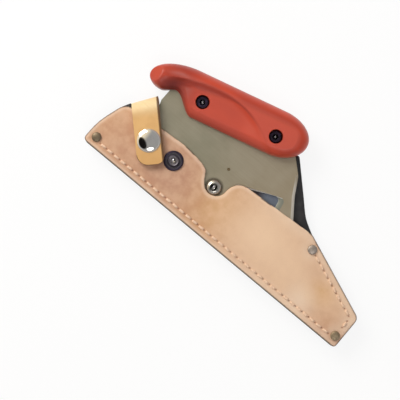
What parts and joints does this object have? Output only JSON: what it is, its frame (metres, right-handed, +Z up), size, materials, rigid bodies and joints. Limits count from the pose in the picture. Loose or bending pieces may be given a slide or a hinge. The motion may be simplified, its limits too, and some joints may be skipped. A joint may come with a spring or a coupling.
{
  "type": "pull knife in sheath",
  "caption": "Pull knife with a moulded grip and a clamped straight blade, stowed in a stitched leather sheath with a snap strap and a belt loop.",
  "frame": {"origin": "middle of the belt loop's outer face, on the surface the part lies on", "axes": "+X along the cutting edge to the sheath's tip, +Y to the grip, +Z up to the front of the sheath"},
  "size_m": [0.2284, 0.1067, 0.0264],
  "materials": {
    "front_leather": "vegetable-tanned, matt, faintly grained",
    "black_leather": "dyed black, matt",
    "welt_leather": "raw cut edge",
    "strap_leather": "smooth, waxed",
    "thread": "waxed thread",
    "rivet_metal": "dull antique plating",
    "snap_metal": "nickel plated",
    "black_metal": "black oxide",
    "plate_steel": "satin stainless",
    "blade_steel": "blued",
    "bolt_steel": "plain",
    "grip_plastic": "moulded, satin"
  },
  "bodies": {
    "sheath": {"front_panel": "front_leather", "back_panel": "black_leather", "edge_welt": "welt_leather", "seam_thread": "thread", "rivet_caps": "rivet_metal", "rivet_posts": "rivet_metal", "snap_stud": "black_metal", "stud_post": "snap_metal", "belt_loop": "black_leather", "loop_rivets": "rivet_metal", "strap_root": "strap_leather", "strap_rivets": "rivet_metal"},
    "knife": {"body_plate": "plate_steel", "blade": "blade_steel", "blade_bolt": "bolt_steel", "blade_nut": "bolt_steel", "blade_pin": "black_metal", "grip_front": "grip_plastic", "grip_rear": "grip_plastic", "grip_screws": "black_metal", "grip_nuts": "black_metal"},
    "strap": {"strap_flap": "strap_leather", "snap_cap": "snap_metal", "snap_socket": "snap_metal"}
  },
  "joints": [
    {"name": "knife_draw", "type": "slide", "parent": "sheath", "child": "knife", "axis": [-0.309, 0.9511, 0], "range_m": [0, 0.11]},
    {"name": "strap_swing", "type": "hinge", "parent": "sheath", "child": "strap", "pos_m": [-0.0783, 0.0113, 0.0137], "axis": [-0.7009, -0.7133, 0], "range_deg": [0, 75]}
  ]
}
